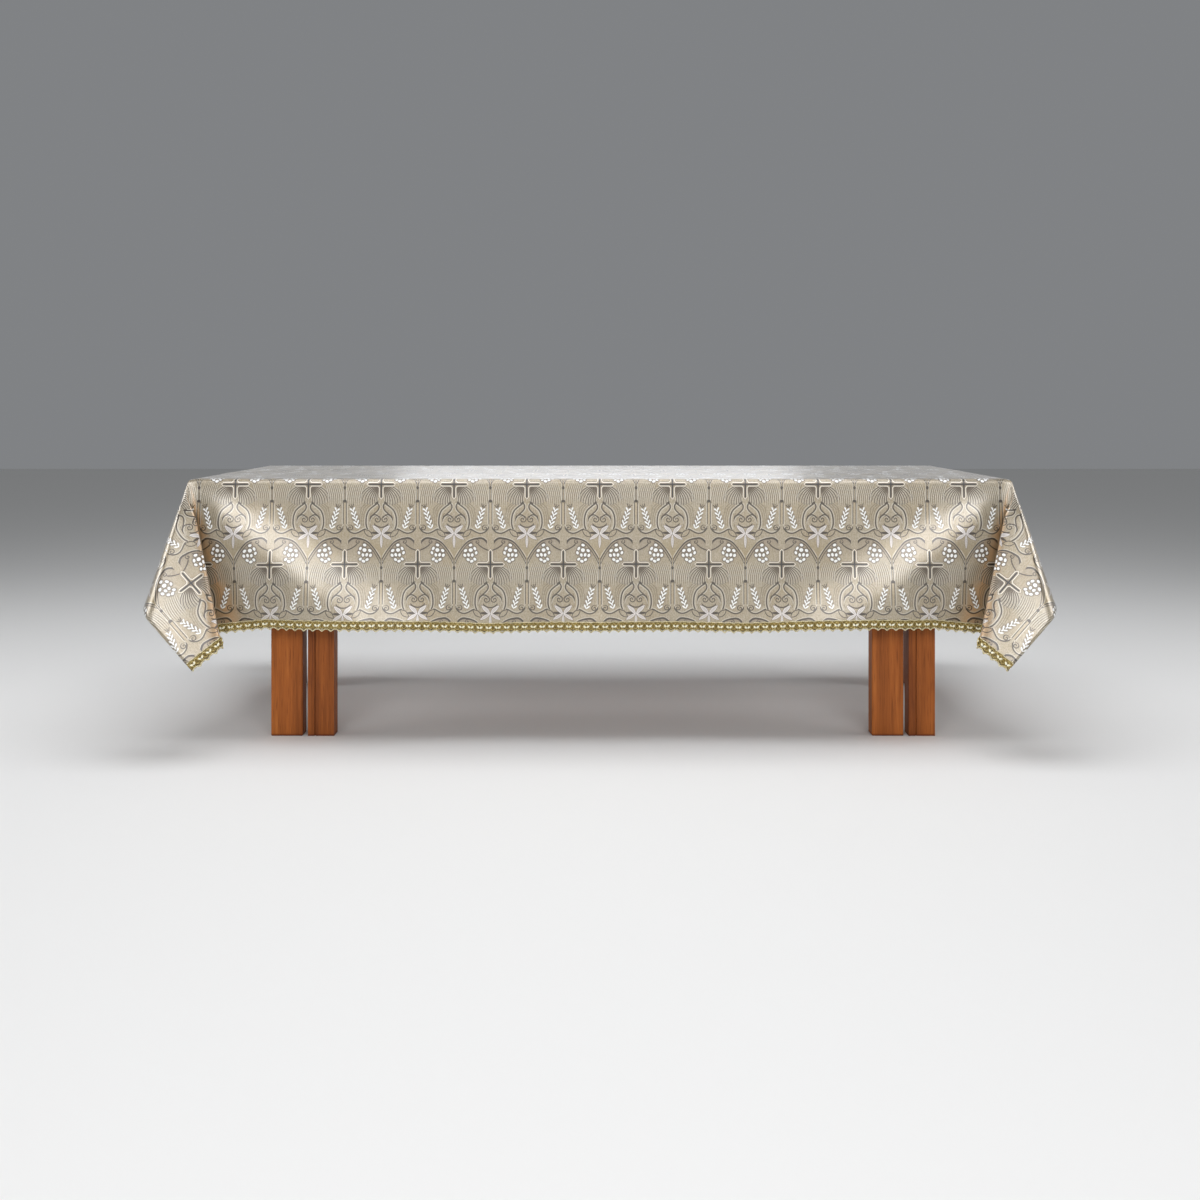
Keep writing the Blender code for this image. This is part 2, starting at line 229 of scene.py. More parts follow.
# Soft creases on the flat cloth, from start to end, each a trough (out below nought) or a ridge: fine ones on
# the top, a wide diagonal ridge near each end of the front, and short swells and puckers by the hem.
CREASES = np.array([
    # start u, v       end u, v         half   fade   out
    (-1.200, -0.060, -0.905, 0.110, 0.011, 0.033, -0.0022),
    (-0.905, 0.110, -0.280, 0.215, 0.012, 0.036, -0.0020),
    (-1.190, -0.085, -0.880, 0.085, 0.012, 0.036, 0.0018),
    (0.150, 0.250, 1.120, 0.180, 0.014, 0.042, -0.0014),
    (-0.600, -0.300, 0.500, -0.265, 0.018, 0.054, 0.0010),
    (-0.300, -0.120, 0.950, -0.180, 0.024, 0.072, -0.0026),
    (-0.900, -0.220, 0.050, -0.190, 0.022, 0.066, -0.0026),
    (-0.500, 0.020, 0.600, 0.060, 0.026, 0.078, -0.0020),
    (0.100, -0.330, 1.050, -0.300, 0.020, 0.060, -0.0015),
    (-1.115, -0.511, -0.680, -0.822, 0.088, 0.065, 0.0125),
    (1.115, -0.511, 0.680, -0.822, 0.088, 0.065, 0.0125),
    (-0.060, -0.815, 0.090, -0.818, 0.055, 0.050, 0.0070),
    (-0.670, -0.822, -0.560, -0.822, 0.050, 0.050, 0.0060),
    (-0.060, -0.720, -0.068, -0.810, 0.017, 0.030, 0.0016),
    (0.000, -0.735, 0.002, -0.815, 0.016, 0.030, 0.0018),
    (0.075, -0.725, 0.084, -0.812, 0.018, 0.030, 0.0016),
    (-0.570, -0.735, -0.562, -0.815, 0.017, 0.030, 0.0018),
    (-0.500, -0.755, -0.496, -0.815, 0.016, 0.030, 0.0014),
])


def smooth_line(points, steps):
    """Catmull-Rom curve through the points: cubics whose tangents join each point's neighbours."""
    ends = 2 * points[[0, -1]] - points[[1, -2]]
    p = np.vstack([ends[:1], points, ends[1:]])
    t = np.linspace(0, 1, steps, endpoint=False)[:, None, None]
    a, b, c, d = p[:-3], p[1:-2], p[2:-1], p[3:]
    curve = 0.5 * (2 * b + (c - a) * t + (2 * a - 5 * b + 4 * c - d) * t**2 + (3 * b - a - 3 * c + d) * t**3)
    return np.vstack([curve.transpose(1, 0, 2).reshape(-1, points.shape[1]), points[-1:]])


def fan_of_rays(slack):
    """Unit rays from the corner (past the end, past the front, up) and the flat cloth's angle at each, which
    is the sum of the angles between the rays so far."""
    line = smooth_line(CORNER_FOLD, SPLINE_STEPS)
    rays = np.column_stack([line[:, 2] * slack - line[:, 0], line[:, 1], -np.ones(len(line))])
    rays /= np.linalg.norm(rays, axis=1)[:, None]
    turn = np.arccos(np.clip((rays[1:] * rays[:-1]).sum(1), -1, 1))
    return rays, -np.arctan(CORNER_FOLD[0, 0]) + np.concatenate([[0], np.cumsum(turn)])


def close_corner():
    """Finds by halving the slack with which the corner uses up all of the flat cloth's angle."""
    whole = np.pi / 2 + np.arctan(-CORNER_FOLD[-1, 1])
    low, high = 0.0, 1.0
    for _ in range(HALVINGS):
        middle = (low + high) / 2
        if fan_of_rays(middle)[1][-1] < whole:
            low = middle
        else:
            high = middle
    return fan_of_rays(high)


RAYS, ANGLES = close_corner()


def plain_rays(angle):
    """Rays of a corner that is only rounded: each panel swells in a bell past the edge that it meets."""
    from_end = np.pi / 2 - angle
    past_end = PLAIN_BULGE * np.exp(-(((from_end - PLAIN_PEAK) / PLAIN_SPREAD) ** 2))
    past_front = PLAIN_BULGE * np.exp(-(((angle - PLAIN_PEAK) / PLAIN_SPREAD) ** 2))
    past_end += np.tan(np.minimum(angle, 0))
    past_front += np.tan(np.minimum(from_end, 0))
    rays = np.column_stack([past_end, past_front, -np.ones_like(angle)])
    return rays / np.linalg.norm(rays, axis=1)[:, None]


def corner_cone(angle, reach):
    """Place round a corner: its ray times its reach, rounded close to the corner and folded further down."""
    folded = np.column_stack([np.interp(angle, ANGLES, RAYS[:, i]) for i in range(3)])
    plain = plain_rays(np.clip(angle, ANGLES[0], ANGLES[-1]))
    share = np.clip((reach - PLAIN_REACH) / (FOLD_REACH - PLAIN_REACH), 0, 1)[:, None]
    share = share * share * (3 - 2 * share)
    ray = plain + (folded - plain) * share
    return ray / np.linalg.norm(ray, axis=1)[:, None] * reach[:, None]


def drape(u, v):
    """Place of each point of the flat cloth: level on the table, plumb on its sides, and a cone of rays at
    each corner. A long panel stands out by its flutes, which grow with the power FLUTE_GROWTH of the drop."""
    past_end = np.abs(u) - HALF_LENGTH
    past_front = np.abs(v) - HALF_DEPTH
    angle = np.arctan2(past_end, past_front)
    cone = corner_cone(angle, np.hypot(past_end, past_front))
    flat = np.zeros_like(past_end)
    front = np.column_stack([past_end, flat, -past_front])
    end = np.column_stack([flat, past_front, -past_end])
    top = np.column_stack([past_end, past_front, flat])
    hangs = np.maximum(past_front / FRONT_DROP, 0) ** FLUTE_GROWTH * (past_end < 0)
    offset = (u[:, None] - FLUTES[:, 0]) / FLUTES[:, 1]
    place = np.where((angle < ANGLES[0])[:, None], front, cone)
    place = np.where((angle > ANGLES[-1])[:, None], end, place)
    place = np.where(((past_end <= 0) & (past_front <= 0))[:, None], top, place)
    place[:, 1] += hangs * (np.exp(-offset**2) * FLUTES[:, 2]).sum(1)
    signs = np.column_stack([np.where(u < 0, -1, 1), np.where(v < 0, -1, 1), np.ones_like(u)])
    return (np.array([HALF_LENGTH, HALF_DEPTH, 0]) + place) * signs + np.array([0, 0, CLOTH_HEIGHT])


def rounded_drape(u, v):
    """The drape with its bends rounded: the mean of the places in a bell of weights round each point."""
    steps = np.arange(-3, 4) * BELL_STEP
    weights = np.exp(-(steps**2) / 2)
    weights /= weights.sum()
    place = 0
    for i, across in zip(steps, weights):
        for j, down in zip(steps, weights):
            place = place + across * down * drape(u + i * BEND, v + j * BEND)
    return place


def crease_height(u, v):
    """Height of the creases: for each, a bell across its line, which fades out at the line's two ends."""
    height = np.zeros_like(u)
    for start_u, start_v, end_u, end_v, half, fade, out in CREASES:
        run = np.array([end_u - start_u, end_v - start_v])
        length = np.linalg.norm(run)
        run /= length
        along = (u - start_u) * run[0] + (v - start_v) * run[1]
        across = (v - start_v) * run[0] - (u - start_u) * run[1]
        past = np.maximum(np.maximum(-along, along - length), 0)
        height += out * np.exp(-((across / half) ** 2) - (past / fade) ** 2)
    return height


def cloth_frame(u, v):
    """Place and outward direction at each point of the flat cloth. The direction is the cross product of the
    drape's two slopes, and the place stands out along it by the height of the creases."""
    place = rounded_drape(u, v)
    out = np.cross(rounded_drape(u + SLOPE_STEP, v) - place, rounded_drape(u, v + SLOPE_STEP) - place)
    out /= np.linalg.norm(out, axis=1)[:, None]
    return place + out * crease_height(u, v)[:, None], out


def edge_places(half, bays):
    """Places along one edge of the table top."""
    return np.linspace(-half, half, bays + 1)


def corner_angles():
    """Flat angles of the corner's rows of faces: even steps of the angle plus the turn so far, so they are
    closer where the cloth turns, with one row at the cloth's tip."""
    arc = np.diff(ANGLES)
    heading = np.diff(RAYS, axis=0) / arc[:, None]
    turn = np.arccos(np.clip((heading[1:] * heading[:-1]).sum(1), -1, 1))
    spacing = np.concatenate([[0], np.cumsum(arc + TURN_WEIGHT * np.append(turn, 0))])
    ends = np.interp([0, FAN_ANGLE], ANGLES, spacing)
    angles = np.interp(np.linspace(*ends, CORNER_BAYS + 1), spacing, ANGLES)
    angles[np.argmin(np.abs(angles - TIP_ANGLE))] = TIP_ANGLE
    return angles[1:]


def stations():
    """Start and end, on the flat cloth, of each line from the table's edge to the hem, in a ring round it."""
    along = edge_places(HALF_LENGTH, FRONT_BAYS)
    across = edge_places(HALF_DEPTH, END_BAYS)
    longer = np.interp(along, HEM_LINE[:, 0], HEM_LINE[:, 1])
    fan = corner_angles()
    to_front = FRONT_DROP / np.maximum(np.cos(fan), 0.1)
    to_end = END_DROP / np.maximum(np.sin(fan), 0.1)
    reach = np.where(fan <= TIP_ANGLE + 1e-6, to_front, to_end)
    beside = HALF_DEPTH + END_DROP / np.tan(FAN_ANGLE)
    spread = np.linspace(-beside, beside, END_BAYS + 1)[1:-1]
    level = across[1:-1]
    lines = []

    def add_line(start_u, start_v, end_u, end_v):
        lines.append(np.column_stack(np.broadcast_arrays(start_u, start_v, end_u, end_v)))

    def add_corner(x_side, y_side, order):
        u = x_side * (HALF_LENGTH + reach * np.sin(fan))[::order]
        v = y_side * (HALF_DEPTH + reach * np.cos(fan))[::order]
        add_line(x_side * HALF_LENGTH, y_side * HALF_DEPTH, u, v)

    add_line(along, -HALF_DEPTH, along, -HALF_DEPTH - FRONT_DROP - longer)
    add_corner(1, -1, 1)
    add_line(HALF_LENGTH, level, HALF_LENGTH + END_DROP, spread)
    add_corner(1, 1, -1)
    add_line(along[::-1], HALF_DEPTH, along[::-1], HALF_DEPTH + FRONT_DROP)
    add_corner(-1, 1, 1)
    add_line(-HALF_LENGTH, level[::-1], -HALF_LENGTH - END_DROP, spread[::-1])
    add_corner(-1, -1, -1)
    lines = np.vstack(lines)
    return along, across, lines[:, :2], lines[:, 2:]


def cloth_grid():
    """Flat places and faces: a grid on the table top, and rows of faces from its edge down to the hem. The
    rows stand at s to the power of ROW_CROWDING of the way down, for s from 0 to 1, so they are closer at
    the edge."""
    along, across, start, end = stations()
    grid_u, grid_v = np.meshgrid(along, across, indexing="ij")
    rows = np.linspace(0, 1, ROW_COUNT + 1)[1:] ** ROW_CROWDING
    flat = [np.column_stack([grid_u.ravel(), grid_v.ravel()])]
    flat += [start + (end - start) * row for row in rows]
    flat = np.vstack(flat)
    column = np.arange(grid_u.size).reshape(grid_u.shape)
    faces = np.stack([column[:-1, :-1], column[1:, :-1], column[1:, 1:], column[:-1, 1:]], axis=-1)
    faces = faces.reshape(-1, 4).tolist()
    edge = np.array([np.argmin(np.abs(flat[:grid_u.size] - s).sum(1)) for s in start])
    count = len(start)
    ring = [edge] + [grid_u.size + i * count + np.arange(count) for i in range(ROW_COUNT)]
    for upper, lower in zip(ring, ring[1:]):
        quads = np.column_stack([upper, lower, np.roll(lower, -1), np.roll(upper, -1)])
        faces += [list(dict.fromkeys(quad)) for quad in quads.tolist()]
    return flat, faces


def add_piece(name, places, faces, finish, slot):
    """A smooth-shaded mesh of these places and faces, which rides on the table."""
    mesh = bpy.data.meshes.new(name)
    mesh.from_pydata(places.tolist(), [], faces)
    mesh.materials.append(finish)
    mesh.shade_smooth()
    piece = bpy.data.objects.new(name, mesh)
    bpy.context.scene.collection.objects.link(piece)
    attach(piece, "root")
    return piece


def add_flat_map(piece, flat):
    """A UV map in metres of the flat cloth, so that the woven pattern follows the cloth round its folds."""
    corners = np.empty(len(piece.data.loops), dtype=np.int32)
    piece.data.loops.foreach_get("vertex_index", corners)
    piece.data.uv_layers.new(name="ClothMetres").uv.foreach_set("vector", flat[corners].ravel())


# The brocade's pattern, drawn in millimetres on the flat cloth. Crosses stand in a half-drop repeat, each
# over a bulb with two scrolls and a lily, between stems with ears of wheat, and under arches with bunches
# of grapes. COLUMN is half the repeat's width and ROW its height, and TOP_ROW is where a cross of the top row
# stands. Each row's drawing ends above the next one's along a step: its height at the cross and between two
# crosses, and how far from the cross it starts to rise (ROW_JOIN).
COLUMN = 106.5
ROW = 234.0
TOP_ROW = (-1.0, 393.0)
ROW_JOIN = (-86.0, -36.0, 45.0)

# Lines that run down, as distance from the cross's axis at each height.
BULB = (
    (57, 13), (61, 18.5), (66, 25), (71, 31), (77, 36.5),
    (86, 41), (96, 43.5), (107, 44.5), (119, 44), (132, 40),
)
HEART = ((55, 12), (60, 7.5), (66, 6), (72, 7.5), (78, 11.5), (84, 17.5), (90, 24.5), (95, 30))

# Lines that run across, as height at each distance from the cross's axis.
BROW = ((6, 98), (11, 92), (17, 89.5), (24, 91), (30, 96.5), (34, 105))
MOUTH = ((0, 126), (7, 125), (15, 121), (21, 115.5))
GARLAND = (
    (46, 131), (52, 133), (60, 137.5), (68, 141.5), (76, 143.5),
    (84, 142.5), (92, 138.5), (98, 132), (102, 125),
)
ARCH = (
    (10, -64), (16, -71), (25, -76), (38, -75.5), (50, -73),
    (66, -66), (81, -51), (95, -31), (105, -13),
)
CUSP = ((6, -41), (14, -44), (22, -48), (30, -53.5), (36, -59))

PETALS = (
    # across, down, angle, half length, half width
    (13, 132, -43, 17.7, 5.2),
    (9, 135, -58, 13, 5.0),
    (15, 153, 31, 17.3, 4.6),
    (0, 166, 90, 21, 3.6),
)
GRAPES = (
    # across, down, angle, half length, half width
    (58, -56, 20, 5.3, 4.0),
    (45.5, -46, -60, 5.7, 3.8),
    (57.5, -41.5, 0, 6.0, 5.5),
    (73, -40, 40, 5.6, 4.2),
    (41.5, -33.5, 70, 5.1, 3.8),
    (53, -27, 80, 5.2, 4.1),
    (64, -27.5, -70, 5.5, 4.0),
    (75, -26, -60, 5.3, 4.1),
    (45.5, -15, -45, 5.1, 3.9),
    (54.5, -9, 25, 5.5, 4.1),
    (65, -13.5, -35, 5.3, 4.0),
)
SCROLLS = (
    # across, down, last radius, growth in a turn, radius at no angle
    (11.5, 103, 11.5, 7.2, 5.6),
    (91, 128, 9.5, 6.8, 4.2),
    (39, -66, 7.0, 6.0, 3.0),
)
EAR_TOP = (22.5, 72.0)
EAR_LEAN = 73.5
EAR_LENGTH = 60.0
GRAIN_PITCH = 13.4

# The cross's arms, the lines round them, and the rays under them, whose angles are in radians.
ARM_END = 35.5
BAR_HALF = 2.1
CORNER_CUT = 5.4
CROSS_LINE = (4.2, 6.7)
CROSS_RIM = (6.7, 8.6)
CROSS_RING = (4.6, 6.4)
RAY_BEND = -8e-5
RAY_ANGLES = (0.04, 1.20)
RAY_REACH = (12, 90)
RAY_END = 80.0
RAY_HALF_PITCH = 0.070
RAY_DARK = 1.4
RAY_PALE = (1.7, 3.2)
SCROLL_HALF = 1.4
HANGING_HALF_PITCH = 2.9

# The flat cloth's angles, in radians round a corner of the table, at the ear's inner fold and where the ear
# hides the front panel, how far the painted tan light spreads on either side of them, and how soon below the
# top it starts. It is painted bounce light in the fold and over the ear's shadow on the front panel.
INNER_FOLD_ROW = 10.3
INNER_FOLD = float(ANGLES[round(INNER_FOLD_ROW * SPLINE_STEPS)])
HIDDEN_EDGE = -0.27
PAINTED_LIGHT_BY_FOLD = 0.10
PAINTED_LIGHT_BY_EDGE = 0.12
PAINTED_LIGHT_START = 0.06

# The weft's rib is drawn several times coarser than the real one, so that it shows.
WEFT_PITCH = 1.6
WEAVE_RELIEF = 0.00045

# Lampas: a satin ground of silver thread and cream silk, calendered to a cool, soft sheen that washes out
# the dark lines where it mirrors a light, with matt white silk for the grapes and the grains.
brocade, weave, brocade_shader = new_finish(
    "lampas_brocade_silver_and_cream",
    Sheen_Weight=0.3,
    Sheen_Roughness=0.35,
    Coat_Weight=1.0,
    Coat_Roughness=0.3,
    Coat_IOR=1.9,
)
flat_metres = weave("UVMap", uv_map="ClothMetres")
flat_mm = weave("VectorMath MULTIPLY_ADD", flat_metres, (1000, -1000, 0), (-TOP_ROW[0], -TOP_ROW[1], 0))
wide, low, _ = weave("SeparateXYZ", flat_mm).node.outputs
row_low = weave("Math WRAP", low, ROW_JOIN[0] + ROW, ROW_JOIN[0])
drop_shift = weave("Math MULTIPLY", weave("Math SUBTRACT", low, row_low), COLUMN / ROW)
row_wide = weave("Math PINGPONG", weave("Math ADD", wide, drop_shift), COLUMN)
join = weave("MapRange", row_wide, ROW_JOIN[2], COLUMN, *ROW_JOIN[:2], interpolation_type="SMOOTHSTEP")
above = weave("Math LESS_THAN", row_low, join)
down = weave("Math MULTIPLY_ADD", above, ROW, row_low)
across = weave("Math ABSOLUTE", weave("Math SUBTRACT", weave("Math MULTIPLY", above, COLUMN), row_wide))
place = weave("CombineXYZ", across, down, 0.0)
beside = weave("Math SUBTRACT", COLUMN, across)


def strip(value, first, last):
    """1 between the first and the last value, and 0 outside."""
    return weave("Math COMPARE", value, (first + last) / 2, (last - first) / 2)


def either(*masks):
    """1 where any mask is: their maximum."""
    return reduce(lambda a, b: weave("Math MAXIMUM", a, b), masks)


def both(*masks):
    """1 where all masks are: their product."""
    return reduce(lambda a, b: weave("Math MULTIPLY", a, b), masks)


def height_of_line(points, value):
    """The smooth line through the points, read at a value."""
    line = weave("FloatCurve", 1.0, value)
    mapping = line.node.mapping
    mapping.use_clip = False
    curve = mapping.curves[0]
    curve.points[0].location = points[0]
    curve.points[1].location = points[-1]
    for point in points[1:-1]:
        curve.points.new(*point)
    mapping.update()
    return line


def off_line(points, value, other):
    """How far a place is from the line, square to it: the other coordinate less the line's, over the root of
    1 plus the slope squared. Also a mask of the line's own stretch."""
    height = height_of_line(points, value)
    slope = weave("Math SUBTRACT", height_of_line(points, weave("Math ADD", value, 1.0)), height)
    steep = weave("Math SQRT", weave("Math MULTIPLY_ADD", slope, slope, 1.0))
    off = weave("Math DIVIDE", weave("Math SUBTRACT", other, height), steep)
    return off, strip(value, points[0][0], points[-1][0])


def oval(at, x, y, angle, half_length, half_width):
    """Distance from an oval's middle in its own half axes, so that its edge is at 1."""
    size = (half_length, half_width, 1)
    turn = (0, 0, np.radians(angle))
    return weave("VectorMath LENGTH", weave("Mapping", at, (x, y, 0), turn, size, vector_type="TEXTURE"))


def leaf(at, x, y, angle, half_length, half_width):
    """The same for a shape with two points: the side distance plus the square of the one along it."""
    size = (half_length, half_width, 1)
    turn = (0, 0, np.radians(angle))
    inside = weave("Mapping", at, (x, y, 0), turn, size, vector_type="TEXTURE")
    along_leaf, aside, _ = weave("SeparateXYZ", inside).node.outputs
    return weave("Math MULTIPLY_ADD", along_leaf, along_leaf, weave("Math ABSOLUTE", aside))


def least(shape, table):
    """The least distance from any shape of a table."""
    return reduce(lambda a, b: weave("Math MINIMUM", a, b), [shape(place, *row) for row in table])


def scroll(x, y, last, growth, first):
    """A spiral line: where the radius less the growth times the angle, in turns, is near its first value."""
    local = weave("VectorMath SUBTRACT", place, (x, y, 0))
    radius = weave("VectorMath LENGTH", local)
    local_x, local_y, _ = weave("SeparateXYZ", local).node.outputs
    angle = weave("Math ARCTAN2", local_y, local_x)
    unwound = weave("Math MULTIPLY_ADD", angle, -growth / (2 * np.pi), radius)
    from_line = weave("Math WRAP", unwound, first + growth / 2, first - growth / 2)
    return both(weave("Math COMPARE", from_line, first, SCROLL_HALF), strip(radius, 1.0, last))


# The cross: a dark bar each way and a ring where they meet, with a cream line round it that cuts the corners
# and a dark rim round that.
below = weave("Math ABSOLUTE", down)
near = weave("Math MINIMUM", across, below)
far = weave("Math MAXIMUM", across, weave("Math MULTIPLY", below, 0.95))
past_arm = weave("Math MAXIMUM", weave("Math SUBTRACT", far, ARM_END), 0.0)
from_cross = weave("Math MULTIPLY_ADD", past_arm, 0.9, near)
corner = weave("Math MULTIPLY_ADD", weave("Math ADD", near, far), 0.707, -CORNER_CUT)
cross_edge = weave("Math MINIMUM", from_cross, corner)
cross_bar = weave("Math LESS_THAN", from_cross, BAR_HALF)
cross_line = strip(cross_edge, *CROSS_LINE)
cross_rim = strip(cross_edge, *CROSS_RIM)
reach = weave("VectorMath LENGTH", place)
cross_ring = strip(reach, *CROSS_RING)

# Rays that spring from under the arms and bend down, on a ground that is darkest where they start.
ray_angle = weave("Math ARCTAN2", down, across)
ray_turn = weave("Math MULTIPLY_ADD", weave("Math POWER", reach, 2.0), RAY_BEND, ray_angle)
ray_side = strip(ray_turn, *RAY_ANGLES)
ray_end = weave("Math MULTIPLY_ADD", ray_turn, 16.0, reach)
ray_field = both(strip(reach, *RAY_REACH), weave("Math LESS_THAN", ray_end, RAY_END), ray_side)
ray_gap = weave("Math MULTIPLY", weave("Math PINGPONG", ray_turn, RAY_HALF_PITCH), reach)
ray_dark = both(weave("Math LESS_THAN", ray_gap, RAY_DARK), ray_field)
ray_pale = both(strip(ray_gap, *RAY_PALE), ray_field)
ray_shade = weave("Math MULTIPLY", ray_side, weave("MapRange", reach, 10, 64, 1.0, 0.0))

# The bulb and what it holds, the fine lines that follow it outside, and the small scrolls of the repeat.
off_bulb, along_bulb = off_line(BULB, down, across)
off_heart, along_heart = off_line(HEART, down, across)
off_brow, along_brow = off_line(BROW, across, down)
off_mouth, along_mouth = off_line(MOUTH, across, down)
bulb_dark = either(
    both(strip(off_bulb, -2.1, 2.1), along_bulb),
    both(strip(off_heart, -1.9, 1.9), along_heart),
    both(strip(off_brow, -1.8, 1.8), along_brow),
    both(strip(off_mouth, -1.7, 1.7), along_mouth),
    weave("Math LESS_THAN", leaf(place, 13, 55, 40, 7, 3.0), 1.0),
)
bulb_pale = either(
    both(either(strip(off_bulb, -5.6, -2.1), strip(off_bulb, 2.1, 4.4)), along_bulb),
    both(strip(off_heart, -4.6, -1.9), along_heart),
    both(strip(off_brow, 1.8, 4.4), along_brow),
)
bulb_inner = both(strip(off_bulb, -12.5, -10.3), strip(down, 84, 128))
bulb_echo = both(
    strip(weave("Math PINGPONG", off_bulb, 2.7), 1.7, 2.7),
    strip(off_bulb, 6, 23),
    strip(down, 54, 122),
)
scrolls = either(*[scroll(*row) for row in SCROLLS])

# The lily, with dark wedges and open leaves at its sides.
lily_size = least(leaf, PETALS)
petals = weave("Math LESS_THAN", lily_size, 1.0)
petal_edge = strip(lily_size, 1.0, 1.22)
petal_rim = strip(lily_size, 0.68, 1.0)
wedge = weave("Math LESS_THAN", leaf(place, 18, 142.5, -4, 13, 3.6), 1.0)
leaf_size = leaf(place, 38, 143.5, -40, 17, 8)
open_leaf = strip(leaf_size, 0.72, 1.06)
lily_hatch = strip(weave("Math PINGPONG", weave("Math ADD", across, down), 2.4), 1.3, 2.4)

# The stems: a knotted line above and two lines below, with fine lines that hang on either side, and the
# garland that joins each stem to the lily.
stem = either(
    both(strip(beside, 1.5, 3.1), strip(down, -12, 50)),
    both(strip(beside, 3.6, 5.8), strip(down, 50, 117)),
    weave("Math LESS_THAN", oval(place, COLUMN, 10.5, 0, 4.2, 4.6), 1.0),
    weave("Math LESS_THAN", oval(place, COLUMN, 49.5, 0, 5.6, 4.2), 1.0),
)
stem_gold = both(strip(beside, 0, 2.2), strip(down, 54, 116))
stem_pale = either(
    both(strip(beside, 3.1, 5.4), strip(down, -10, 46)),
    both(strip(beside, 5.8, 8.4), strip(down, 56, 117)),
)
swell = weave("Math POWER", weave("Math SUBTRACT", down, 50.0), 2.0)
hanging = weave("Math MULTIPLY_ADD", swell, -0.004, beside)
line_field = both(
    strip(hanging, 5, 50),
    weave("MapRange", down, -12, 10, 0, 1),
    weave("MapRange", down, 44, 66, 1, 0),
)
line_wave = weave("Math PINGPONG", hanging, HANGING_HALF_PITCH)
line_dark = both(weave("Math GREATER_THAN", line_wave, 1.9), line_field)
line_pale = both(weave("Math LESS_THAN", line_wave, 1.0), line_field)
off_garland, along_garland = off_line(GARLAND, across, down)
garland = both(strip(off_garland, -2.0, 2.0), along_garland)
garland_pale = both(strip(off_garland, -4.8, -2.0), along_garland)

# An ear of wheat that leans away from the stem: pairs of grains, with a middle grain between two pairs.
from_stem_place = weave("CombineXYZ", beside, down, 0.0)
ear_turn = (0, 0, np.radians(EAR_LEAN))
ear_place = weave("Mapping", from_stem_place, (*EAR_TOP, 0), ear_turn, (1, 1, 1), vector_type="TEXTURE")
ear_down, ear_across, _ = weave("SeparateXYZ", ear_place).node.outputs
ear_side = weave("Math ABSOLUTE", ear_across)
pair_down = weave("Math WRAP", ear_down, GRAIN_PITCH / 2, -GRAIN_PITCH / 2)
middle_down = weave("Math SUBTRACT", GRAIN_PITCH / 2, weave("Math ABSOLUTE", pair_down))
pair_size = oval(weave("CombineXYZ", pair_down, ear_side, 0.0), 0, 4.8, -34, 5.7, 2.35)
middle_size = oval(weave("CombineXYZ", middle_down, ear_side, 0.0), 0, 0, 0, 4.3, 2.2)
in_ear = strip(ear_down, -3, EAR_LENGTH)
grains = both(weave("Math LESS_THAN", weave("Math MINIMUM", pair_size, middle_size), 1.0), in_ear)
ear_size = oval(ear_place, EAR_LENGTH / 2 - 2, 0, 0, EAR_LENGTH / 2 + 4, 11)
ear_shade = weave("MapRange", ear_size, 0.6, 1.1, 1.0, 0.0)
awn_line = weave("Math MULTIPLY_ADD", ear_down, 0.5, ear_side)
awns = both(either(strip(awn_line, -1.4, 1.2), strip(ear_side, 0, 1.0)), strip(ear_down, -14, -4))

# The arches, the gold ground where two of them meet, and the bunches of grapes under them.
off_arch, along_arch = off_line(ARCH, across, down)
arch_half = weave("MapRange", across, 24, 90, 2.9, 1.5)
arch = both(weave("Math LESS_THAN", weave("Math ABSOLUTE", off_arch), arch_half), along_arch)
arch_second = both(strip(off_arch, 5.2, 7.6), strip(across, 52, 104))
arch_pale = both(strip(off_arch, -4.6, -1.9), along_arch)
arch_shade = both(
    weave("MapRange", off_arch, 1, 46, 1.0, 0.0),
    weave("Math GREATER_THAN", off_arch, 0.0),
    weave("MapRange", down, -34, -8, 1.0, 0.0),
    along_arch,
)
meet_side = weave("Math SUBTRACT", COLUMN, row_wide)
meet_rise = weave("Math SUBTRACT", -13.0, row_low)
meet_edge = weave("Math MULTIPLY_ADD", meet_rise, -0.62, meet_side)
arch_gold = both(weave("Math LESS_THAN", meet_edge, 0.0), weave("MapRange", meet_rise, 8, 66, 1.0, 0.0))
off_cusp, along_cusp = off_line(CUSP, across, down)
cusp = both(strip(off_cusp, -1.7, 1.7), along_cusp)
grape_size = least(oval, GRAPES)
grapes = weave("Math LESS_THAN", grape_size, 1.0)
grape_shade = weave("MapRange", grape_size, 1.3, 1.9, 1.0, 0.0)

# Painted light: along each ear's inner fold, and over the ear's shadow on the front panel beside it, a warm
# tan glow of bounced light is painted into the colour. Both are strips of the flat cloth's angle round the
# corner of the table.
flat_u, flat_v, _ = weave("SeparateXYZ", flat_metres).node.outputs
past_end = weave("Math SUBTRACT", weave("Math ABSOLUTE", flat_u), HALF_LENGTH)
past_front = weave("Math SUBTRACT", weave("Math ABSOLUTE", flat_v), HALF_DEPTH)
fan_angle = weave("Math ARCTAN2", past_end, past_front)
from_fold = weave("Math ABSOLUTE", weave("Math SUBTRACT", fan_angle, INNER_FOLD))
from_edge = weave("Math ABSOLUTE", weave("Math SUBTRACT", fan_angle, HIDDEN_EDGE))
painted_fold_light = both(
    either(
        weave("MapRange", from_fold, 0.0, PAINTED_LIGHT_BY_FOLD, 1.0, 0.0),
        weave("MapRange", from_edge, 0.0, PAINTED_LIGHT_BY_EDGE, 1.0, 0.0),
    ),
    weave("MapRange", past_front, 0.0, PAINTED_LIGHT_START, 0.0, 1.0),
)
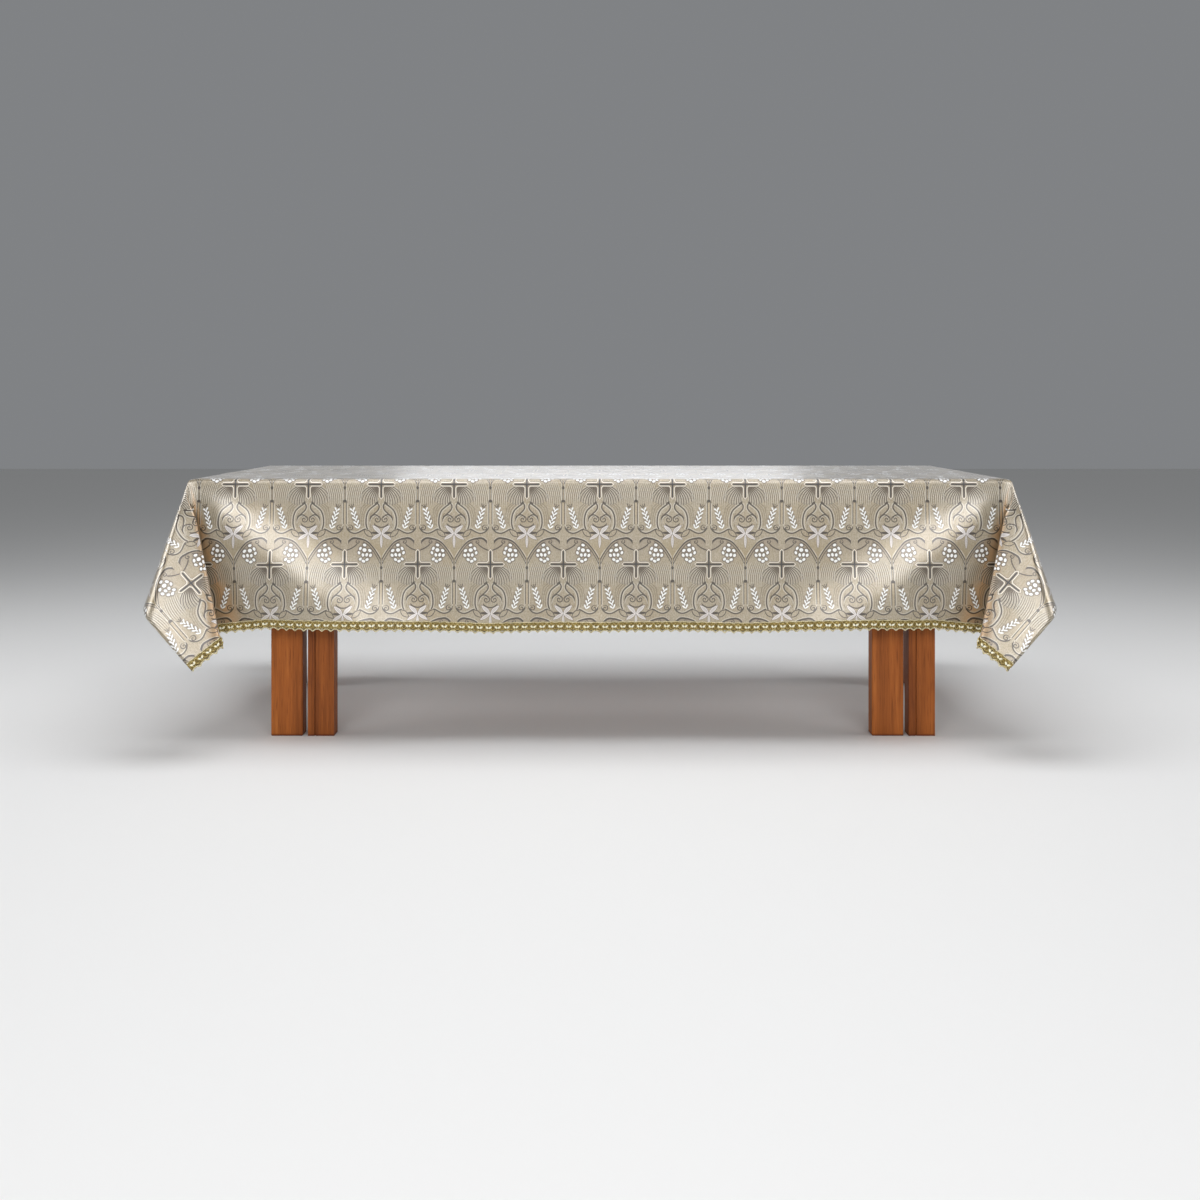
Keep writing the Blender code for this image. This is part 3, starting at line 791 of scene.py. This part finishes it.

# Colours, one kind of thread over another, from the satin ground up to the white, with the painted fold light
# first.
tint = weave("TexNoise", flat_mm, 0.009, 2.0, 0.5, 2.0, 0.6)
slub = weave("TexNoise", weave("VectorMath MULTIPLY", flat_mm, (0.5, 0.05, 0)), 1.0, 2.0, 0.6, 2.0, 0.0)
fleck = weave("TexNoise", weave("VectorMath MULTIPLY", flat_mm, (0.3, 0.2, 0)), 1.0, 2.0, 0.7, 2.0, 0.0)
warm_share = weave("MapRange", tint, 0.42, 0.7, 0, 0.6)
slub_share = weave("MapRange", slub, 0.35, 0.7, 0, 0.55)
fleck_share = weave("MapRange", fleck, 0.36, 0.58, 0.5, 0.0)
ground = weave("Mix", warm_share, linear("#B1A286"), linear("#A99268"), data_type="RGBA")
ground = weave("Mix", slub_share, ground, linear("#CFC6B3"), data_type="RGBA")
ground = weave("Mix", fleck_share, ground, linear("#7C6C52"), data_type="RGBA")
THREADS = (
    # where, how much of it shows, its colour
    # painted light: warm bounce light in the ears' folds and over their shadows, not a thread
    (painted_fold_light, 0.75, "#E2B27C"),
    (arch_gold, 0.6, "#A08A58"),
    (arch_shade, 0.45, "#8F7F6C"),
    (ray_shade, 0.42, "#86765F"),
    (ear_shade, 0.75, "#6E5F49"),
    (either(line_dark, bulb_inner, bulb_echo), 0.55, "#66573C"),
    (ray_dark, 0.85, "#4C3C26"),
    (either(line_pale, stem_pale), 0.7, "#DDD6C6"),
    (either(ray_pale, bulb_pale, garland_pale, arch_pale), 0.6, "#DDD6C6"),
    (stem_gold, 0.45, "#C2AE8C"),
    (either(bulb_dark, scrolls, garland, cusp, awns, open_leaf, arch_second), 0.92, "#3B2C18"),
    (grape_shade, 0.85, "#57472F"),
    (either(arch, stem, wedge), 0.94, "#32230F"),
    (petal_edge, 0.75, "#5A4A36"),
    (weave("Math LESS_THAN", cross_edge, CROSS_LINE[1]), 0.7, "#9C8D75"),
    (cross_rim, 0.65, "#7A6A54"),
    (cross_ring, 0.7, "#4F402D"),
)
colour = ground
for where, shows, code in THREADS:
    colour = weave("Mix", weave("Math MULTIPLY", where, shows), colour, linear(code), data_type="RGBA")
hatch_share = weave("Math MULTIPLY", lily_hatch, 0.45)
lily = weave("Mix", hatch_share, linear("#D9D2CC"), linear("#A69C92"), data_type="RGBA")
lily = weave("Mix", petal_rim, lily, linear("#EDE6E2"), data_type="RGBA")
colour = weave("Mix", petals, colour, lily, data_type="RGBA")
colour = weave("Mix", cross_line, colour, linear("#F2EADA"), data_type="RGBA")
colour = weave("Mix", cross_bar, colour, linear("#1F140A"), data_type="RGBA")
white = either(grapes, grains)
colour = weave("Mix", white, colour, linear("#FFFEFA"), data_type="RGBA")

# Relief and gloss: the white and pale threads float on the ground, the dark ones are bound into it, and only
# the white silk has next to no metal in it.
rib = weave("Math SINE", weave("Math MULTIPLY", low, 2 * np.pi / WEFT_PITCH))
bound_lines = either(bulb_dark, scrolls, stem, garland, cusp, awns, arch, wedge, petal_edge, ray_dark)
bound = weave("Math MULTIPLY", either(bound_lines, line_dark, cross_bar), 0.7)
floating = weave("Math MULTIPLY", either(petals, cross_line, line_pale, ray_pale, bulb_pale), 0.8)
threads = weave("Math SUBTRACT", either(white, floating), bound)
relief = weave("Math MULTIPLY_ADD", rib, 0.08, threads)
matt = weave("Math MULTIPLY_ADD", white, 0.2, 0.33)
metal = weave("MapRange", white, 0.0, 1.0, 0.45, 0.05)
brocade.node_tree.links.new(metal, brocade_shader.inputs["Metallic"])
dress(brocade, brocade_shader, colour, matt, relief, WEAVE_RELIEF)

flat, cloth_faces = cloth_grid()
cloth_places, _ = cloth_frame(flat[:, 0], flat[:, 1])
cloth = add_piece("brocade_cloth", cloth_places, cloth_faces, brocade, "brocade")
add_flat_map(cloth, flat)
wall = cloth.modifiers.new("thickness", "SOLIDIFY")
wall.thickness = CLOTH_THICKNESS
wall.offset = 1.0
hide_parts("frontal_cloth")


# The braid. Gold gimp sewn along the front hem from tip to tip of the cloth: a flat woven band with two
# cords that cross on it in a chain of eyes, a pair of bright beads in each eye, and loops that hang below.

BRAID_PITCH = 0.026
BRAID_LIFT = 0.0018
BAND_LOW = 0.003
BAND_HIGH = 0.0240
BAND_THICKNESS = 0.0008
BAND_GAP = 0.0004
BAND_INSET = 0.001
BAND_STEPS = 4
CORD_MIDDLE = 0.0130
CORD_SWING = 0.0082
CORD_RADIUS = 0.0019
CORD_OVER = 0.0009
CORD_STEPS = 16
CORD_SIDES = 6
LOOP_TOP = 0.0030
LOOP_DEPTH = 0.0075
LOOP_RADIUS = 0.0021
EDGE_CORD_RADIUS = 0.0014
EDGE_SCALLOP = 0.0016
BEAD_HALF = (0.0055, 0.0034, 0.0030)
BEAD_ASIDE = 0.0046
BEAD_RISE = 0.0024
BEAD_TILT = np.radians(38)
BEAD_SIDES = 8
BEAD_TIERS = 4
NET_STEPS = 4
NET_REACH = (-0.016, 0.032)
NET_ROWS = 13
THREAD_RELIEF = 0.0003

tip = HALF_LENGTH + END_DROP
repeats = round(2 * tip / BRAID_PITCH)
pitch = 2 * tip / repeats


def hem_edge(along):
    """The hem's place down the flat cloth, for each place along it."""
    return -HALF_DEPTH - FRONT_DROP - np.interp(along, HEM_LINE[:, 0], HEM_LINE[:, 1])


net_along = np.linspace(-tip, tip, NET_STEPS * repeats + 1)
net_up = np.linspace(*NET_REACH, NET_ROWS)
net_u, net_up_all = np.meshgrid(net_along, net_up, indexing="ij")
net_v = hem_edge(net_u) + net_up_all
net_place, net_out = (part.reshape(*net_u.shape, 3) for part in cloth_frame(net_u.ravel(), net_v.ravel()))


def on_hem(along, up, out):
    """Place and outward direction for metres along the hem, up from it and out from the cloth: the values at
    the four nearest knots of a net over the hem, weighted by closeness."""
    i = np.clip((along + tip) / (net_along[1] - net_along[0]), 0, len(net_along) - 1.001)
    j = np.clip((up - net_up[0]) / (net_up[1] - net_up[0]), 0, len(net_up) - 1.001)
    i0, j0 = i.astype(int), j.astype(int)
    s, t = (i - i0)[..., None], (j - j0)[..., None]

    def blend(net):
        upper = net[i0, j0] * (1 - s) + net[i0 + 1, j0] * s
        lower = net[i0, j0 + 1] * (1 - s) + net[i0 + 1, j0 + 1] * s
        return upper * (1 - t) + lower * t

    normal = blend(net_out)
    normal /= np.linalg.norm(normal, axis=-1)[..., None]
    return blend(net_place) + normal * (CLOTH_THICKNESS + out)[..., None], normal


def ring_faces(count, sides):
    """Faces of a closed sleeve of rings, each with this number of sides: quads from each ring to the next,
    and one face over each end."""
    ring_start = np.arange(count - 1)[:, None] * sides
    first = (ring_start + np.arange(sides)).ravel()
    after = (ring_start + (np.arange(sides) + 1) % sides).ravel()
    faces = np.column_stack([first, after, after + sides, first + sides]).tolist()
    faces.append(list(range(sides))[::-1])
    faces.append(list(range((count - 1) * sides, count * sides)))
    return faces


def tube(centre, out, radius, sides):
    """A round tube: circles across the centre line, in the plane of the outward direction and the line's
    side, joined by rings of faces and closed at both ends."""
    heading = np.gradient(centre, axis=0)
    heading /= np.linalg.norm(heading, axis=1)[:, None]
    side = np.cross(out, heading)
    side /= np.linalg.norm(side, axis=1)[:, None]
    lift = np.cross(heading, side)
    turn = np.arange(sides) * 2 * np.pi / sides
    ring = np.cos(turn)[None, :, None] * side[:, None] + np.sin(turn)[None, :, None] * lift[:, None]
    places = (centre[:, None] + radius * ring).reshape(-1, 3)
    return places, ring_faces(len(centre), sides)


def joined(parts):
    """Several lots of places and faces as one lot."""
    places, faces, count = [], [], 0
    for part_places, part_faces in parts:
        places.append(part_places)
        faces += [[i + count for i in face] for face in part_faces]
        count += len(part_places)
    return np.vstack(places), faces


def metal_thread(name, pale, dark, roughness, twist_mm, metallic):
    """Metal strip wound on a silk core: a warm, broken shine, with each turn painted into the colour as a
    slanting highlight and shade and raised in the relief, here drawn several times coarser than the real
    thread so that they show."""
    thread, spin, shader = new_finish(name, Metallic=metallic, Coat_Weight=0.3)
    spot = spin("VectorMath MULTIPLY", spin("TexCoord").node.outputs["Object"], (1000, 1000, 1000))
    x, y, z = spin("SeparateXYZ", spot).node.outputs
    slant = spin("Math ADD", x, spin("Math MULTIPLY", spin("Math ADD", y, z), 0.8))
    turns = spin("Math SINE", spin("Math MULTIPLY", slant, 2 * np.pi / twist_mm))
    wear = spin("TexNoise", spot, 0.12, 2.0, 0.6, 2.0, 0.2)
    # the turns' pale and dark colours are painted highlights and shade of the twisted strip, mixed with wear
    turn_highlight_and_wear = spin("Math MULTIPLY_ADD", turns, 0.22, wear)
    share = spin("MapRange", turn_highlight_and_wear, 0.25, 0.75, 0.0, 1.0)
    colour = spin("Mix", share, linear(dark), linear(pale), data_type="RGBA")
    gloss = spin("MapRange", turn_highlight_and_wear, 0.2, 0.8, roughness + 0.08, roughness - 0.06)
    dress(thread, shader, colour, gloss, turns, THREAD_RELIEF)
    return thread


along = np.linspace(-tip + CORD_RADIUS, tip - CORD_RADIUS, repeats * CORD_STEPS + 1)
phase = (along + tip) / pitch
swing = CORD_SWING * np.cos(2 * np.pi * phase)
over = CORD_OVER * np.sin(2 * np.pi * phase)
cords = [
    tube(*on_hem(along, CORD_MIDDLE + swing, BRAID_LIFT + CORD_RADIUS + over), CORD_RADIUS, CORD_SIDES),
    tube(*on_hem(along, CORD_MIDDLE - swing, BRAID_LIFT + CORD_RADIUS - over), CORD_RADIUS, CORD_SIDES),
]
gold_cord = metal_thread("gold_thread_cord", "#D8C27E", "#7E6A30", 0.36, 5.0, 0.5)
braid_cords = add_piece("braid_crossing_cords", *joined(cords), gold_cord, "gold_braid")

hang = LOOP_DEPTH * (1 - np.abs(np.sin(np.pi * phase)) ** 0.8)
loop = tube(*on_hem(along, LOOP_TOP - hang, np.full_like(along, BRAID_LIFT)), LOOP_RADIUS, CORD_SIDES)
scallop = EDGE_SCALLOP * np.abs(np.sin(np.pi * phase))
edge_line = on_hem(along, BAND_HIGH + scallop, np.full_like(along, BRAID_LIFT))
edge_cord = tube(*edge_line, EDGE_CORD_RADIUS, CORD_SIDES)
pale_cord = metal_thread("pale_gold_thread_loops", "#F6EFCF", "#C2B078", 0.40, 5.0, 0.4)
braid_loops = add_piece("braid_edge_loops", *joined([loop, edge_cord]), pale_cord, "gold_braid")

band_along = np.linspace(-tip + BAND_INSET, tip - BAND_INSET, repeats * BAND_STEPS + 1)
band_up = np.array([BAND_HIGH, BAND_HIGH, BAND_LOW, BAND_LOW])
band_out = np.array([0.0, BAND_THICKNESS, BAND_THICKNESS, 0.0]) + BAND_GAP
band_places, _ = on_hem(*np.broadcast_arrays(band_along[:, None], band_up, band_out))
band_faces = ring_faces(len(band_along), len(band_up))
band_gold = metal_thread("gold_woven_band", "#B9A15A", "#6C5A28", 0.44, 4.0, 0.5)
braid_band = add_piece("braid_woven_band", band_places.reshape(-1, 3), band_faces, band_gold, "gold_braid")
braid_band.data.shade_flat()

# A bead: rings of latitude between two poles. The quads at a pole have two corners in one, so they are
# triangles.
turn = np.arange(BEAD_SIDES) * 2 * np.pi / BEAD_SIDES
tier = np.radians(np.linspace(-90, 90, BEAD_TIERS + 1))[1:-1]
rings = np.stack([
    np.outer(np.cos(tier), np.cos(turn)),
    np.outer(np.cos(tier), np.sin(turn)),
    np.outer(np.sin(tier), np.ones(BEAD_SIDES)),
], axis=-1)
ball = np.vstack([(0, 0, -1), rings.reshape(-1, 3), (0, 0, 1)]) * BEAD_HALF
corner_number = np.arange((BEAD_TIERS + 1) * BEAD_SIDES).reshape(-1, BEAD_SIDES) - BEAD_SIDES + 1
corner_number = np.clip(corner_number, 0, len(ball) - 1)
lower, upper = corner_number[:-1], corner_number[1:]
quads = np.stack([lower, np.roll(lower, -1, axis=1), np.roll(upper, -1, axis=1), upper], axis=-1)
ball_faces = [list(dict.fromkeys(quad)) for quad in quads.reshape(-1, 4).tolist()]
bead_middle = -tip + (np.arange(repeats) + 0.5) * pitch
parts = []
for lean in (-1, 1):
    x = ball[:, 0] * np.cos(BEAD_TILT) - lean * ball[:, 1] * np.sin(BEAD_TILT)
    y = lean * ball[:, 0] * np.sin(BEAD_TILT) + ball[:, 1] * np.cos(BEAD_TILT)
    for middle in bead_middle:
        aside = middle + lean * BEAD_ASIDE + x
        places, _ = on_hem(aside, CORD_MIDDLE + y, BRAID_LIFT + BEAD_RISE + ball[:, 2])
        parts.append((places, ball_faces))
bead_gold = metal_thread("bright_gold_beads", "#FFFFF0", "#F8EEC4", 0.25, 9.0, 0.1)
braid_beads = add_piece("braid_beads", *joined(parts), bead_gold, "gold_braid")

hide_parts("hem_braid")


# The studio. A pale floor that runs out into the distance, a wide soft box and two high ones behind the
# camera, one at each end, one overhead and one behind, and a camera level before the middle of the front.

FLOOR_HALF = 14
SOFT_BOXES = (
    # name, place, aim, width and height, watts, colour
    ("front_wide", (0.0, -4.4, 1.75), (0.0, -0.3, 0.55), (4.2, 1.3), 44, "#FDFDFF"),
    ("left_high", (-1.6, -4.2, 2.4), (-0.8, -0.4, 0.5), (1.8, 1.1), 25, "#FDFDFF"),
    ("right_high", (1.6, -4.2, 2.4), (0.8, -0.4, 0.5), (1.8, 1.1), 25, "#FDFDFF"),
    ("left_end", (-4.2, -0.6, 1.9), (-1.2, 0.0, 0.5), (1.6, 1.2), 30, "#FDFDFF"),
    ("right_end", (4.2, -0.6, 1.9), (1.2, 0.0, 0.5), (1.6, 1.2), 30, "#FDFDFF"),
    ("overhead", (0.0, -0.3, 3.6), (0.0, -0.1, 0.6), (3.4, 1.8), 80, "#F8FAFF"),
    ("behind", (0.0, 2.4, 1.6), (0.0, 0.0, 0.77), (2.2, 0.5), 9, "#F8FAFF"),
)
SKY = "#DDE0E4"
SKY_STRENGTH = 0.3
EYE_PLACE = (0.0, -3.575, 0.979)
EYE_LENS = 32.76
EYE_SHIFT = -0.16


def add_light(name, place, aim, size, power, tint):
    """An oblong soft box at a place, turned towards its aim, which the camera doesn't see."""
    lamp = bpy.data.lights.new(name, "AREA")
    lamp.shape = "RECTANGLE"
    lamp.size, lamp.size_y = size
    lamp.energy = power
    lamp.color = linear(tint)[:3]
    light = bpy.data.objects.new(name, lamp)
    light.location = place
    heading = np.array(aim) - np.array(place)
    tip_down = np.arctan2(np.hypot(heading[0], heading[1]), -heading[2])
    light.rotation_euler = (tip_down, 0, np.arctan2(heading[1], heading[0]) - np.pi / 2)
    light.visible_camera = False
    bpy.context.scene.collection.objects.link(light)


# Pale matt floor paint, which takes soft shadows and has hardly any shine.
floor_mesh = bpy.data.meshes.new("floor")
floor_corners = [(x * FLOOR_HALF, y * FLOOR_HALF, 0) for x, y in ((-1, -1), (1, -1), (1, 1), (-1, 1))]
floor_mesh.from_pydata(floor_corners, [], [(0, 1, 2, 3)])
floor = bpy.data.objects.new("floor", floor_mesh)
bpy.context.scene.collection.objects.link(floor)
floor_finish, _, floor_shader = new_finish("pale_painted_floor", Roughness=0.75)
floor_shader.inputs["Base Color"].default_value = linear("#ECEBE8")
floor_mesh.materials.append(floor_finish)

for box in SOFT_BOXES:
    add_light(*box)

world = bpy.data.worlds.new("studio")
world.use_nodes = True
world.node_tree.nodes["Background"].inputs["Color"].default_value = linear(SKY)
world.node_tree.nodes["Background"].inputs["Strength"].default_value = SKY_STRENGTH
bpy.context.scene.world = world

lens = bpy.data.cameras.new("front_view")
lens.lens = EYE_LENS
lens.shift_y = EYE_SHIFT
camera = bpy.data.objects.new("front_view", lens)
camera.location = EYE_PLACE
camera.rotation_euler = (np.pi / 2, 0, 0)
bpy.context.scene.collection.objects.link(camera)
bpy.context.scene.camera = camera
bpy.context.scene.view_settings.view_transform = "Standard"
